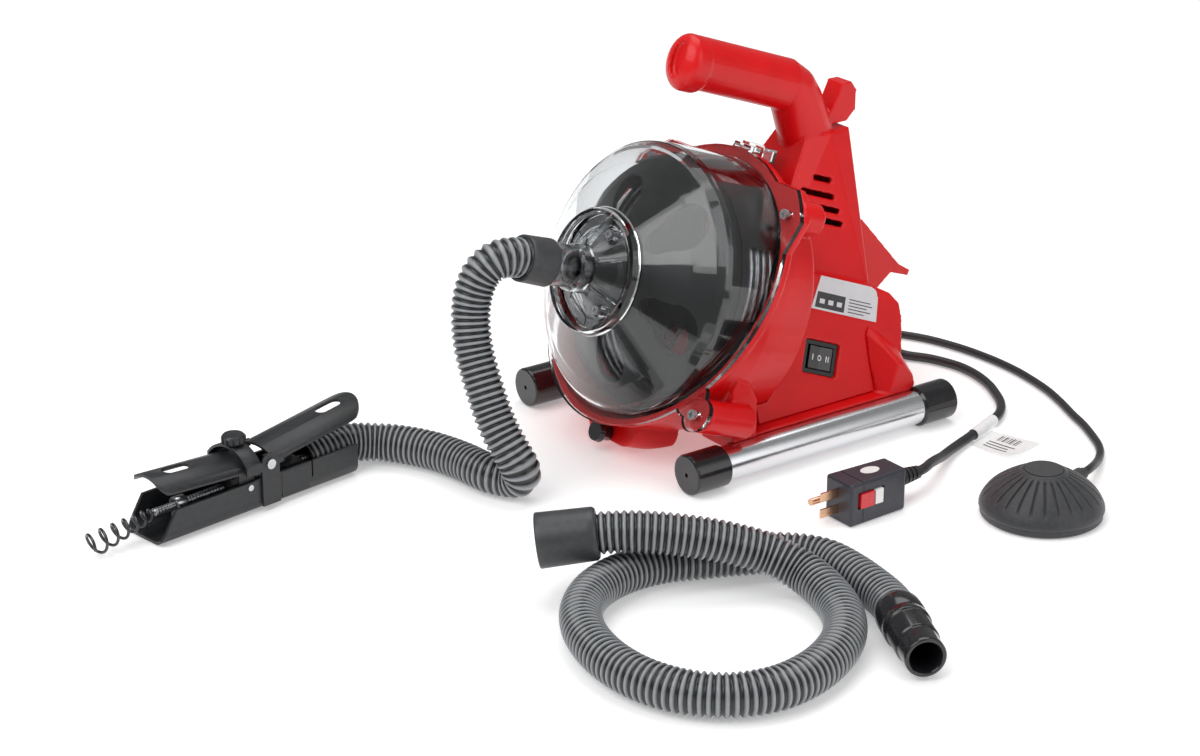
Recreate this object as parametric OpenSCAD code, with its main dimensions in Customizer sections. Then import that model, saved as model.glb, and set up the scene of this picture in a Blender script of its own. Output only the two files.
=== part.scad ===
// Drain snake machine: a tilted cable drum behind a clear cover, carried by a red housing on two
// steel tubes, with a guide hose and hand feed tool, a foot pedal, a mains lead and a spare guide hose.
// The origin is on the floor midway between the base tubes. -Y is the front, +X the switch side.

/* [Drum axis] */
// Nose-up tilt of the drum axis, degrees
tilt = 20; // [18:1:21]
// Front rim centre of the clear cover, Y
rim_y = -92; // [-94:1:-90]
// Front rim centre of the clear cover, height
rim_z = 125; // [125:1:128]

/* [Clear cover] */
// Radius of the cover at its front rim
cover_r = 99; // [98:0.5:100]
// Wall of the cover
cover_wall = 2.5; // [2:0.1:3]
// Lean of the cover's flange behind the square cut, degrees
lean = 18; // [16:1:19]
// Where the flange plane crosses the axis, behind the rim
flange_s = 30; // [29:1:31]

/* [Drum] */
// Outer radius of the drum
drum_r = 88; // [84:1:90]
// Length of the drum's wall
drum_len = 62; // [58:1:64]
// Number of windows in the drum
drum_windows = 5; // [4:1:6]
// Radius of the drive pulley on the drum shaft
drum_pulley_r = 34; // [30:1:36]
// Radius of the pulley on the motor
motor_pulley_r = 8.5; // [8:0.5:10]

/* [Base] */
// Half of the distance between the base tubes
tube_x = 98.4; // [97:0.1:100]
// Outer diameter of the base tubes
tube_d = 25.4; // [25:0.1:26]
// Length of the base with its end caps
base_len = 240; // [236:1:244]
// Outer diameter of the end caps
cap_d = 29.5; // [29:0.5:30]
// Length of an end cap
cap_len = 30; // [28:1:34]

/* [Handle] */
// Height of the handle's centre line above the drum axis
handle_h = 158; // [156:1:160]
// Width of the handle
handle_w = 33; // [30:1:36]

/* [Hoses and leads] */
// Outer diameter of the guide hoses
hose_d = 28; // [27:0.5:28]
// Outer diameter of the mains lead
cord_d = 7; // [6:0.5:7]
// Outer diameter of the air hose
air_d = 6; // [5:0.5:6]

/* [Feed tool] */
// Length of the tool's channel
tool_len = 170; // [168:1:172]
// Width of the tool's channel
tool_w = 40; // [38:1:40]
// Diameter of the cable
cable_d = 6.4; // [6:0.1:6.4]

/* [Pedal] */
// Outer diameter of the pedal
pedal_d = 86; // [84:1:88]
// Height of the pedal
pedal_h = 34; // [33:1:35]
// Travel of the pedal
pedal_travel = 8; // [6:1:8]

/* [Hidden] */

fine = 96;
draft = 16.7;
function side_at(z) = 64 - (z - 100) * tan(draft);

// Drum frame: X across, Y back along the drum axis from the rim, Z square to both.
pan_rear = 85;
pan_wall = 3;
pan_r = 104;
pan_rear_r = 98;
pulley_s = 98;
pulley_w = 12;
motor_h = 46;
motor_s = 114;
motor_len = 52;
motor_r = 27;
shaft_r = 6;
bearing_r = 13;

// Tool frame: origin on the floor under the channel's rear end, +Y towards the auger.
tool_x = -84;
tool_y = -285;
cable_z = 17;
tool_wall = 2.2;

// Pedal, plug and their places on the floor.
pedal_pos = [265, 58, 0];
plug_pos = [193.5, -38, 0];
plug_size = [27, 51, 31];

// Points that the leads and hoses follow, in order from where they start.
power_route = [[-22, 122.3, 39], [-22.5, 131, 37], [-22.5, 140.5, 31], [-21, 149, 23], [-18, 157, 14],
    [-11, 164.5, 7], [-2, 172, 3.8], [12, 181.5, 3.5], [25, 186.5, 3.5], [38, 189.5, 3.5],
    [52, 189.5, 3.5], [66, 187, 3.5], [81, 182, 3.5], [95, 175, 3.5], [107, 168, 3.5], [118, 159, 3.6],
    [127, 148, 4], [133, 136, 4.35], [139, 121, 4.35], [145, 104, 4.35], [151, 87, 4.4],
    [158, 71, 5.5], [166.5, 56, 8], [175, 42, 12], [182.5, 29.5, 15], [187.7, 20, 16], [189.5, 12, 16]];
air_route = [[-46, 108.2, 34], [-47, 118, 33], [-50, 130, 29], [-54, 144, 21], [-57, 158, 12], [-57, 172, 5.5],
    [-53, 184, 3.2], [-46, 194, 3], [-35, 202, 3], [-20, 209.5, 3], [-4, 214.5, 3], [12, 218, 3], [28, 220, 3],
    [48, 221, 3], [70, 220, 3], [92, 216.5, 3], [113, 211.5, 3], [135, 203.5, 3], [157, 194, 3],
    [176, 186.5, 3], [194, 177.5, 3], [208, 169.5, 3], [219, 160.5, 3.2], [228, 150, 4.2], [236, 139, 6.5],
    [243.5, 128, 9.5], [249, 118.5, 11.5], [251.9, 110.6, 12]];
hose_route = [[0, -178.7, 156.6], [0, -189.7, 160.6], [-0.5, -200, 163], [-2.5, -210, 161.5], [-5.5, -218.5, 154],
    [-7, -224, 142], [-6.5, -227, 129], [-3.5, -229, 115.5], [1, -230, 102], [7, -230, 89], [13.5, -229.5, 76],
    [20, -228.5, 63], [27.5, -227, 50.5], [35, -224, 38.5], [40, -220, 27], [38.5, -218, 18.5],
    [30, -220.5, 14.4], [18, -226.5, 14.2], [4, -229.5, 14.2], [-11, -231, 14.2], [-26, -234, 14.2],
    [-41, -238.5, 14.2], [-54, -244.5, 14.2], [-66, -252, 14.2], [-75.5, -261, 14.4], [-81.5, -272, 15.4],
    [-84, -285, 17], [-82, -297.6, 17], [-80, -310.3, 17], [-78, -322.9, 17]];
spare_route = [[180.5, -268.4, 41.8], [187, -259.5, 43.3], [197, -246, 44.4], [208.5, -230.5, 44],
    [223, -210, 41], [237, -188, 35], [251, -168, 27], [272, -156.5, 18.5], [300, -159.5, 14.8],
    [325, -170.5, 14.2], [346, -188, 14.2], [361.5, -211, 14.2], [371, -237, 14.2], [373, -264, 14.2],
    [364, -290, 14.2], [345, -309.5, 14.2], [319.5, -320.5, 14.2], [292, -323, 14.2],
    [265, -319, 14.2], [240, -309.5, 14.2], [218.5, -294, 14.2], [203, -272.5, 14.2],
    [195.5, -246.5, 14.2], [197, -219, 14.2], [207, -193, 14.2], [218, -168, 14.2], [232, -143, 14.2],
    [254, -127.5, 14.2], [281.5, -126, 14.2], [308, -129.5, 14.2], [323, -132.7, 14.2],
    [336.5, -138, 14.7], [350, -144.5, 15.7]];

// ---- helpers ----

function unit(v) = v / norm(v);

// Directions of the path and frames carried along it without twist.
function headings(p) = [for (i = [0:len(p) - 1]) unit(p[min(i + 1, len(p) - 1)] - p[max(i - 1, 0)])];
function carried(n, t) = unit(n - (n * t) * t);
function normals(t, i, n) = i == len(t) ? [] : concat([carried(n, t[i])], normals(t, i + 1, carried(n, t[i])));

// A round tube along the path p: solid when r_in is 0.
module sweep(p, r, r_in, sides) {
    t = headings(p);
    n = normals(t, 0, abs(t[0][2]) < 0.9 ? [0, 0, 1] : [1, 0, 0]);
    m = len(p);
    loops = r_in > 0 ? [r, r_in] : [r];
    pts = [for (q = loops) for (i = [0:m - 1]) for (j = [0:sides - 1])
        p[i] + q * (cos(360 * j / sides) * n[i] + sin(360 * j / sides) * cross(t[i], n[i]))];
    outer = [for (i = [0:m - 2]) for (j = [0:sides - 1])
        [i * sides + j, i * sides + (j + 1) % sides, (i + 1) * sides + (j + 1) % sides, (i + 1) * sides + j]];
    base = m * sides;
    inner = [for (i = [0:m - 2]) for (j = [0:sides - 1])
        [base + i * sides + j, base + (i + 1) * sides + j, base + (i + 1) * sides + (j + 1) % sides,
         base + i * sides + (j + 1) % sides]];
    last = (m - 1) * sides;
    caps = r_in > 0
        ? [for (j = [0:sides - 1]) each [
            [j, base + j, base + (j + 1) % sides, (j + 1) % sides],
            [last + j, last + (j + 1) % sides, base + last + (j + 1) % sides, base + last + j]]]
        : [[for (j = [sides - 1:-1:0]) j], [for (j = [0:sides - 1]) last + j]];
    polyhedron(points = pts, faces = [for (f = concat(outer, r_in > 0 ? inner : [], caps))
        [for (k = [len(f) - 1:-1:0]) f[k]]], convexity = 8);
}

module on_axis() {
    translate([0, rim_y, rim_z]) rotate([-tilt, 0, 0]) children();
}

// Z runs back along the drum axis from s; Y points away from the upper side.
module along(s, x = 0, h = 0) {
    on_axis() translate([x, s, h]) rotate([-90, 0, 0]) children();
}

module spun(points) {
    along(0) rotate_extrude($fn = fine) polygon(points);
}

// The slab between two distances behind the leaning flange plane.
module flange_slab(y0, y1) {
    on_axis() translate([0, flange_s, 0]) rotate([-lean, 0, 0])
        translate([-200, y0, -220]) cube([400, y1 - y0, 440]);
}

// Outline of the flange, square-shouldered above and round below.
module flange_column(r) {
    along(-40) cylinder(r = r, h = 130, $fn = fine);
    intersection() {
        along(-40) cylinder(r = r + 13, h = 130, $fn = fine);
        on_axis() translate([-r + 13, -40, 0]) cube([2 * r - 26, 130, r - 12]);
    }
}

shoulder = [78, 76];
ear = [98, -70];
module at_shoulders() {
    for (side = [-1, 1]) along(0, side * shoulder[0], shoulder[1]) children();
}
module at_ear() {
    along(0, ear[0], ear[1]) children();
}
function flange_at(h) = flange_s + h * tan(lean);

module base_tube(side) {
    translate([side * tube_x, 0, cap_d / 2]) rotate([-90, 0, 0])
        translate([0, 0, -base_len / 2 + 3]) difference() {
            cylinder(d = tube_d, h = base_len - 6, $fn = 64);
            translate([0, 0, -1]) cylinder(d = tube_d - 3.2, h = base_len, $fn = 64);
        }
}

module end_cap(side, fore) {
    translate([side * tube_x, -fore * base_len / 2, cap_d / 2]) rotate([-90 * fore, 0, 0]) difference() {
        rotate_extrude($fn = 64) polygon([[0, 0], [cap_d / 2 - 1.5, 0], [cap_d / 2 - 0.4, 0.5],
            [cap_d / 2, 1.6], [cap_d / 2, cap_len - 1], [cap_d / 2 - 1, cap_len], [0, cap_len]]);
        translate([0, 0, 3]) cylinder(d = tube_d, h = cap_len, $fn = 64);
        translate([0, 0, -1]) cylinder(r = 1.6, h = 6, $fn = 24);
    }
}

// ---- housing ----

module pan_outer() {
    spun([[0, -30], [pan_r, -30], [pan_r, 42], [pan_r - 1, 52], [pan_rear_r + 1, pan_rear - 5],
        [pan_rear_r - 4, pan_rear], [0, pan_rear]]);
}

module pan_inner() {
    spun([[0, -40], [pan_r - pan_wall, -40], [pan_r - pan_wall, 42], [pan_rear_r - pan_wall, pan_rear - 5],
        [pan_rear_r - pan_wall - 4, pan_rear - pan_wall], [0, pan_rear - pan_wall]]);
}

sump_h = -104.5;
plug_h = -114.5;

module foot(side) {
    mirror([side < 0 ? 1 : 0, 0, 0]) {
        // skirt over the tube
        translate([64, -66, 20]) cube([31, 150, 9]);
        // front bracket, chamfered in front and on top
        translate([60, 0, 0]) rotate([90, 0, 90]) linear_extrude(37)
            polygon([[-78, 20], [-57, 20], [-57, 56], [-64, 69], [-74, 74], [-79, 66]]);
        // rear bracket, with a buttress that climbs the side wall
        hull() {
            translate([60, 0, 0]) rotate([90, 0, 90]) linear_extrude(8)
                polygon([[50, 20], [90, 20], [90, 62], [64, 80], [58, 76]]);
            translate([94, 0, 0]) rotate([90, 0, 90]) linear_extrude(1)
                polygon([[66, 20], [92, 20], [93, 30], [91, 38], [83, 48], [76, 51]]);
        }
        // side wall between the brackets
        translate([64, -66, 20]) cube([9, 150, 22]);
    }
}

module front_housing() {
    color("#cf1414") difference() {
        union() {
            difference() {
                union() {
                    pan_outer();
                    intersection() {
                        flange_column(pan_r + 2);
                        flange_slab(0, 6);
                    }
                    at_shoulders() cylinder(r = 12, h = pan_rear - 8, $fn = 48);
                    at_ear() translate([0, 0, flange_at(ear[1])]) cylinder(r = 12, h = 44, $fn = 48);
                    for (x = [-14, 14]) along(17, x, sump_h) cylinder(r = 15, h = 40, $fn = 48);
                    on_axis() translate([-14, 17, sump_h - 15]) cube([28, 40, 20]);
                    // sole plate
                    difference() {
                        union() {
                            translate([-70, -60, 20]) cube([140, 144, 9]);
                            foot(-1);
                            foot(1);
                        }
                        lower_body(-0.15);
                    }
                    // post under the cover's top lug
                    on_axis() translate([-8, lug_s + 3, 92]) cube([16, 7, 16]);
                }
                flange_slab(-300, 0);
            }
            along(pan_rear - 0.5) cylinder(r = bearing_r + 4, h = 6.5, $fn = 64);
        }
        pan_inner();
        translate([-150, -200, -30]) cube([300, 400, 30.8]);
        // bearing seat and shaft passage
        along(pan_rear - 10) cylinder(r = bearing_r, h = 40, $fn = 64);
        // drain bore
        along(10, 0, plug_h) cylinder(r = 4, h = 22, $fn = 32);
        along(24, 0, -102) cylinder(r = 9, h = 26, $fn = 32);
        at_shoulders() cylinder(r = 1.9, h = 74, $fn = 24);
        at_ear() cylinder(r = 1.9, h = 26, $fn = 24);
        for (side = [-1, 1]) {
            translate([side * tube_x, -140, cap_d / 2]) rotate([-90, 0, 0])
                cylinder(r = tube_d / 2 + 0.05, h = 280, $fn = 64);
            translate([side * tube_x, base_len / 2 - cap_len - 0.2, cap_d / 2]) rotate([-90, 0, 0])
                cylinder(r = cap_d / 2 + 0.2, h = 40, $fn = 64);
        }
    }
}

// Side outline of the lower body, Y then Z.
module lower_side(inset) {
    offset(delta = -inset) polygon([[-45, 29.2], [93, 29.2], [93, 48], [99, 75], [98, 85], [91, 93.5],
        [78, 100.4], [-45, 146.3]]);
}

// Lower body with drafted sides.
module lower_body(inset) {
    intersection() {
        translate([-100, 0, 0]) rotate([90, 0, 90]) linear_extrude(200) lower_side(inset);
        translate([0, 130, 0]) rotate([90, 0, 0]) linear_extrude(180) polygon([[-side_at(25) + inset, 25],
            [side_at(25) - inset, 25], [side_at(140) - inset, 140], [-side_at(140) + inset, 140]]);
    }
}

module upper_hull(inset) {
    hull() {
        translate([0, 0, 88 + inset]) linear_extrude(1) offset(delta = -inset)
            polygon([[-55, -32], [55, -32], [55, 82], [18.4, 105], [-18.4, 105], [-55, 82]]);
        translate([0, 0, 206 - inset]) linear_extrude(1) offset(delta = -inset)
            polygon([[-17, 48], [17, 48], [20, 69], [14, 91], [-14, 91], [-20, 69]]);
    }
}

// Distance behind the rim, length and height of each vent slot.
vent_slots = [[112, 17, 98], [103, 30, 87], [101, 38, 78], [105, 38, 69.5]];
module vents() {
    for (side = [-1, 1]) for (v = vent_slots)
        on_axis() translate([side * 38 - 16, v[0], v[2]]) cube([32, v[1], 3.8]);
}

module handle_bar() {
    // grip, with its swollen front end
    hull() {
        on_axis() translate([0, -6, handle_h]) scale([handle_w / 38, 1, 1]) rotate([-90, 0, 0])
            cylinder(r = 19, h = 1, $fn = 32);
        on_axis() translate([0, 84, handle_h]) scale([handle_w / 38, 1, 1]) rotate([-90, 0, 0])
            cylinder(r = 19, h = 1, $fn = 32);
    }
    hull() {
        for (s = [-11, -3]) on_axis() translate([0, s, handle_h - 1.5]) scale([0.86, 0.5, 1])
            sphere(r = 20.5, $fn = 32);
    }
    // bend down into the column
    hull() {
        on_axis() translate([0, 83, handle_h]) scale([handle_w / 38, 1, 1]) rotate([-90, 0, 0])
            cylinder(r = 19, h = 1, $fn = 32);
        on_axis() translate([0, 93, handle_h - 3]) scale([handle_w / 38, 1, 1]) sphere(r = 18.5, $fn = 32);
        on_axis() translate([0, 102, handle_h - 10]) scale([handle_w / 38, 1, 1]) sphere(r = 18.5, $fn = 32);
        on_axis() translate([0, 121, handle_h - 36]) scale([handle_w / 38, 1, 1]) sphere(r = 21, $fn = 32);
    }
}

module rear_housing() {
    color("#cf1414") difference() {
        union() {
            difference() {
                union() {
                    lower_body(0);
                    upper_hull(0);
                }
                lower_body(3);
                upper_hull(3);
                vents();
            }
            handle_bar();
            // pad behind the switch
            switch_frame() translate([-19, -16, -3]) cube([38, 32, 4.5]);
            // upper cord hook
            translate([-8, 0, 0]) rotate([90, 0, 90]) linear_extrude(17)
                polygon([[72, 210], [84, 230], [88, 239], [97, 239], [102, 232], [101, 217], [93, 210]]);
            // lower cord hook
            translate([-14, 0, 0]) rotate([90, 0, 90]) linear_extrude(28)
                polygon([[98, 134], [108, 132], [146, 89], [157, 82], [155, 78], [138, 84], [122, 72],
                    [96, 82]]);
        }
        // clears the round pan and everything in front of it
        spun([[0, -60], [pan_r + 0.3, -60], [pan_r + 0.3, 42.3], [pan_r - 0.7, 52.3],
            [pan_rear_r + 1.3, pan_rear - 5], [pan_rear_r - 3.7, pan_rear + 0.3], [0, pan_rear + 0.3]]);
        translate([-150, -200, -50]) cube([300, 155, 160]);
        // switch opening, lead and air line holes
        switch_frame() translate([-13.7, -10.7, -12]) cube([27.4, 21.4, 20]);
        switch_frame() translate([-15.2, -12.2, 0]) cube([30.4, 24.4, 20]);
        translate([-22, 82, 39]) rotate([-90, 0, 0]) cylinder(r = 6, h = 20, $fn = 32);
        translate([-46, 82, 34]) rotate([-90, 0, 0]) cylinder(r = 4.5, h = 20, $fn = 32);
        // recess in the end of the grip
        on_axis() translate([0, -30, handle_h]) scale([0.5, 1, 1]) rotate([-90, 0, 0])
            cylinder(r = 13, h = 14, $fn = 48);
    }
}

// ---- switch and label ----

// X back along the side wall, Y up it, Z out of it.
module side_face(p) {
    translate(p) rotate([0, -draft, 0]) rotate([-22, 0, 0]) rotate([90, 0, 90]) children();
}

module switch_frame() {
    side_face([71.5, 19, 61]) children();
}

module switch_bezel() {
    color("#1c1c1e") switch_frame() difference() {
        union() {
            translate([-15, -12, 0.05]) cube([30, 24, 2]);
            translate([-13.5, -10.5, -12]) cube([27, 21, 13]);
        }
        translate([-11.7, -8.8, -9]) cube([23.4, 17.6, 20]);
    }
}

module switch_rocker() {
    color("#26262a") switch_frame() difference() {
        translate([0, 8.3, 0]) rotate([90, 0, 0]) linear_extrude(16.6)
            polygon([[-10.3, -1.5], [-10.3, 2.8], [0, 1.4], [10.3, 2.8], [10.3, -1.5], [4, -6], [-4, -6]]);
        translate([0, 20, -3.5]) rotate([90, 0, 0]) cylinder(r = 1.2, h = 40, $fn = 24);
    }
}

module rating_label() {
    color("#e9e9ea") side_face([side_at(97.5), 49, 97.5]) translate([0, 0, 0.05]) linear_extrude(0.4)
        difference() {
            polygon([[-30, -11.5], [31, -11.5], [29, 13], [-25, 13]]);
            translate([23, 7]) difference() {
                square([9, 9]);
                circle(r = 5.5, $fn = 48);
            }
        }
}

// ---- clear cover ----

nose_ring_s = -43;
lug_s = 71.8;
module cover_profile(w) {
    polygon([[46 - w, -33], [46 - w, -33 + w], [80 - w * 0.5, -14.5 + w], [93 - w, -6.5 + w * 0.6],
        [cover_r - w - 0.8, 0], [cover_r - w, 4], [cover_r - w, 100], [cover_r, 100], [cover_r, 3],
        [cover_r - 1, -2.5], [cover_r - 5, -7.5], [80, -17], [46, -35.3]]);
}

// Space inside the cover.
module cover_space() {
    w = cover_wall;
    spun([[0, -30], [43, -30], [80 - w * 0.5, -14.5 + w], [93 - w, -6.5 + w * 0.6], [cover_r - w - 0.8, 0],
        [cover_r - w, 4], [cover_r - w, 150], [0, 150]]);
}

module clear_cover() {
    color([0.85, 0.9, 0.95, 0.35]) union() {
        difference() {
            union() {
                difference() {
                    along(0) rotate_extrude($fn = fine) cover_profile(cover_wall);
                    flange_slab(-0.05, 300);
                }
                intersection() {
                    flange_column(pan_r + 2);
                    flange_slab(-3.5, -0.05);
                }
                intersection() {
                    union() {
                        at_ear() translate([0, 0, -40]) cylinder(r = 12, h = 80, $fn = 48);
                        along(-40, ear[0] - 12, ear[1] + 8) cylinder(r = 13, h = 80, $fn = 48);
                    }
                    flange_slab(-3.5, -0.05);
                }
            }
            cover_space();
            at_shoulders() cylinder(r = 2.4, h = 100, $fn = 24);
            at_ear() translate([0, 0, -40]) cylinder(r = 2.4, h = 80, $fn = 24);
        }
        // thick ring around the nose
        spun([[40, -33], [44, -32], [46.5, -33.5], [45, -41], [43.5, nose_ring_s], [41, nose_ring_s],
            [40.5, -41]]);
        // top lug that caps the housing's post, and the strap that carries it
        on_axis() translate([0, lug_s, 0]) difference() {
            translate([-12, 0, 101]) cube([24, 13, 10]);
            translate([-9.5, 2.5, 90]) cube([19, 8, 19]);
        }
        intersection() {
            on_axis() translate([-9, 50, 95]) cube([18, 20, 15]);
            flange_slab(-3.5, -0.05);
        }
        on_axis() translate([-9, flange_at(108) - 3, 106.4]) cube([18, lug_s - flange_at(108) + 4, 3.2]);
    }
}

module cover_nose() {
    color([0.8, 0.86, 0.9, 0.4]) difference() {
        union() {
            // shallow funnel from the ring to the spigot
            spun([[39.8, -40], [39.8, -33], [34, -33.5], [19, -49], [17, -51], [17, -60], [15, -62],
                [15, -92], [12.4, -92], [12.4, -58], [14, -50], [16, -47], [32, -31], [39.8, -30.5]]);
            // spokes in front of the funnel
            for (a = [30:60:330]) along(0) rotate([0, 0, a]) rotate([90, 0, 0]) translate([0, 0, -1])
                linear_extrude(2) polygon([[16, -52], [16, -49], [18, -47.6], [33.5, -32.2], [39.2, -32.2],
                    [39.2, -39], [30, -45], [22, -52]]);
            for (a = [0:120:240]) along(-42) rotate([0, 0, a + 50]) translate([31, 0, 0])
                cylinder(r = 4.5, h = 9.4, $fn = 32);
        }
        for (a = [0:120:240]) along(-50) rotate([0, 0, a + 50]) translate([31, 0, 0])
            cylinder(r = 1.7, h = 30, $fn = 24);
    }
}

module screw(r, length, head) {
    cylinder(r = r, h = length, $fn = 24);
    difference() {
        translate([0, 0, -head]) cylinder(r = r * 2, h = head, $fn = 32);
        for (a = [0, 90]) rotate([0, 0, a]) translate([-r * 1.3, -0.4, -head - 1]) cube([r * 2.6, 0.8, head * 0.6 + 1]);
    }
}

module cover_screws() {
    color("#b9bcc2") {
        at_shoulders() translate([0, 0, flange_at(shoulder[1]) - 5.6]) screw(1.8, 20, 2.4);
        at_ear() translate([0, 0, flange_at(ear[1]) - 5.6]) screw(1.8, 20, 2.4);
    }
}

module nose_screws() {
    color("#b9bcc2") for (a = [0:120:240])
        along(-42.1) rotate([0, 0, a + 50]) translate([31, 0, 0]) screw(1.6, 9.2, 2);
}

module nose_bush() {
    color("#b58b3c") along(-57.5) difference() {
        cylinder(r = 12.35, h = 7, $fn = 64);
        translate([0, 0, -1]) cylinder(r = 9.05, h = 20, $fn = 64);
    }
}

// ---- drum ----

module drum_front() {
    color("#202124") difference() {
        union() {
            spun([[9, -55], [9, -24], [12, -21], [22, -19], [34, -14], [60, 0], [78, 7], [85, 11],
                [drum_r, 15], [drum_r, 12 + drum_len], [drum_r - 3, 12 + drum_len], [drum_r - 3, 16],
                [82, 13.5], [76, 10], [58, 3.2], [33, -10.5], [22, -15.5], [11, -17.5], [6, -22], [6, -55]]);
            // stiffening rings round the wall
            for (s = [20, 68]) along(s) difference() {
                cylinder(r = drum_r + 1.2, h = 3, $fn = fine);
                translate([0, 0, -1]) cylinder(r = drum_r - 1, h = 5, $fn = fine);
            }
        }
        for (i = [0:drum_windows - 1]) along(0) rotate([0, 0, 360 / drum_windows * i + 20]) {
            translate([60, 0, -40]) cylinder(r = 17, h = 60, $fn = 48);
            translate([42, 0, -40]) cylinder(r = 10, h = 60, $fn = 48);
            translate([40, 0, -40]) linear_extrude(60) polygon([[2, -10], [20, -17], [20, 17], [2, 10]]);
            rotate([0, 0, 180 / drum_windows]) translate([60, -26, 27]) cube([60, 52, 36]);
        }
    }
}

module drum_back() {
    color("#202124") difference() {
        spun([[shaft_r, 12 + drum_len - 10], [20, 12 + drum_len - 8], [24, 12 + drum_len + 0.1],
            [drum_r, 12 + drum_len + 0.1], [drum_r, 12 + drum_len + 3], [26, 12 + drum_len + 4],
            [16, 12 + drum_len + 5.5], [shaft_r, 12 + drum_len + 5.5]]);
        for (a = [0:60:300]) along(0) rotate([0, 0, a]) translate([52, 0, 60]) cylinder(r = 12, h = 30, $fn = 48);
    }
}

module drum_shaft() {
    color("#a9adb3") along(56) {
        cylinder(r = shaft_r, h = 62, $fn = 48);
        translate([0, 0, -2]) cylinder(r = shaft_r + 4, h = 4, $fn = 48);
    }
}

module drum_bearings() {
    color("#8f949b") for (s = [pan_rear - 3, 112.3]) along(s) difference() {
        cylinder(r = bearing_r - (s > 100 ? 2 : 0.02), h = s > 100 ? 5 : 9, $fn = 64);
        translate([0, 0, -1]) cylinder(r = shaft_r + 0.05, h = 20, $fn = 64);
    }
}

module drum_pulley() {
    color("#3a3d42") along(pulley_s) difference() {
        union() {
            cylinder(r = drum_pulley_r - 2, h = pulley_w, $fn = fine);
            for (z = [0, pulley_w - 1.5]) translate([0, 0, z]) cylinder(r = drum_pulley_r + 2, h = 1.5, $fn = fine);
        }
        translate([0, 0, -1]) cylinder(r = shaft_r, h = 20, $fn = 48);
        for (a = [0:72:288]) rotate([0, 0, a]) translate([20, 0, -1]) cylinder(r = 6.5, h = 20, $fn = 32);
    }
}

module cable_coil() {
    color("#8d9094") along(0) rotate_extrude($fn = fine) {
        for (i = [0:5]) translate([81, 27.2 + i * 6.6]) circle(r = 3.2, $fn = 24);
        translate([60, 25]) square([21.5, 38]);
    }
}

module cable_riser() {
    color("#202124") on_axis() sweep([[0, -22, 0], [0, -12, 0], [0, -5, -1.5], [0, 2, -6], [0, 8, -13],
        [0, 14, -22], [1, 20, -31], [4, 27, -39], [10, 33, -45]], 5.6, 3.8, 12);
}

// ---- drive ----

module motor() {
    color("#5c6066") along(motor_s, 0, motor_h) difference() {
        union() {
            rotate_extrude($fn = 64) polygon([[4, 0], [motor_r - 4, 0], [motor_r, 3], [motor_r, motor_len - 10],
                [motor_r - 5, motor_len - 9], [motor_r - 6, motor_len], [4, motor_len]]);
            for (a = [0:20:340]) rotate([0, 0, a]) translate([motor_r - 1, -1, 4]) cube([2.2, 2, motor_len - 16]);
        }
        translate([0, 0, -1]) cylinder(r = 4.05, h = motor_len + 2, $fn = 48);
    }
    color("#5c6066") on_axis() translate([-30, motor_s - 3.4, -16]) difference() {
        cube([60, 3.5, motor_h + 38]);
        translate([30, -1, 16 + motor_h]) rotate([-90, 0, 0]) cylinder(r = 10, h = 10, $fn = 48);
        translate([30, -1, 16]) rotate([-90, 0, 0]) cylinder(r = bearing_r - 2, h = 10, $fn = 64);
    }
}

module motor_shaft() {
    color("#a9adb3") along(pulley_s - 1, 0, motor_h) {
        cylinder(r = 4, h = motor_len + 26, $fn = 48);
        cylinder(r = motor_pulley_r - 2, h = pulley_w + 1, $fn = 48);
        for (z = [1, pulley_w - 0.5]) translate([0, 0, z]) cylinder(r = motor_pulley_r + 1, h = 1.5, $fn = 48);
    }
}

module motor_fan() {
    color("#2b2d30") along(motor_s + motor_len + 2, 0, motor_h) difference() {
        union() {
            cylinder(r = 7, h = 7, $fn = 48);
            cylinder(r = 19, h = 1.5, $fn = 64);
            for (a = [0:36:324]) rotate([0, 0, a]) translate([5, -0.6, 0]) cube([14, 1.2, 7]);
        }
        translate([0, 0, -1]) cylinder(r = 4, h = 20, $fn = 48);
    }
}

module belt_line(grow) {
    hull() {
        circle(r = drum_pulley_r + grow, $fn = 64);
        translate([0, -motor_h]) circle(r = motor_pulley_r + grow, $fn = 48);
    }
}

module drive_belt() {
    color("#18181a") along(pulley_s + 2.2) linear_extrude(pulley_w - 4.4) difference() {
        belt_line(0.6);
        belt_line(-1.9);
    }
}

module air_switch() {
    color("#4a4d52") {
        translate([-58, 66, 32.5]) cube([24, 17, 17.5]);
        translate([-46, 82, 34]) rotate([-90, 0, 0]) cylinder(r = 2, h = 6, $fn = 24);
    }
}

// ---- base ----

module tube_left() { color("#c9ced2") base_tube(-1); }
module tube_right() { color("#c9ced2") base_tube(1); }
module cap_front_left() { color("#1d1e20") end_cap(-1, 1); }
module cap_front_right() { color("#1d1e20") end_cap(1, 1); }
module cap_rear_left() { color("#1d1e20") end_cap(-1, -1); }
module cap_rear_right() { color("#1d1e20") end_cap(1, -1); }

module tube_screws() {
    color("#9a9ea4") for (x = [-1, 1]) for (y = [-50, 60])
        translate([x * (tube_x - 24), y, 17.8]) {
            cylinder(r = 1.9, h = 2.15, $fn = 24);
            translate([0, 0, -2]) cylinder(r = 4, h = 2, $fn = 32);
        }
}

module drain_plug() {
    color("#141416") along(4, 0, plug_h) {
        cylinder(r = 3.95, h = 21, $fn = 32);
        cylinder(r = 6, h = 12.7, $fn = 48);
        cylinder(r1 = 7, r2 = 8, h = 4, $fn = 48);
        translate([0, 0, 4]) cylinder(r1 = 8, r2 = 6, h = 4, $fn = 48);
    }
}

// ---- mains lead ----

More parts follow.
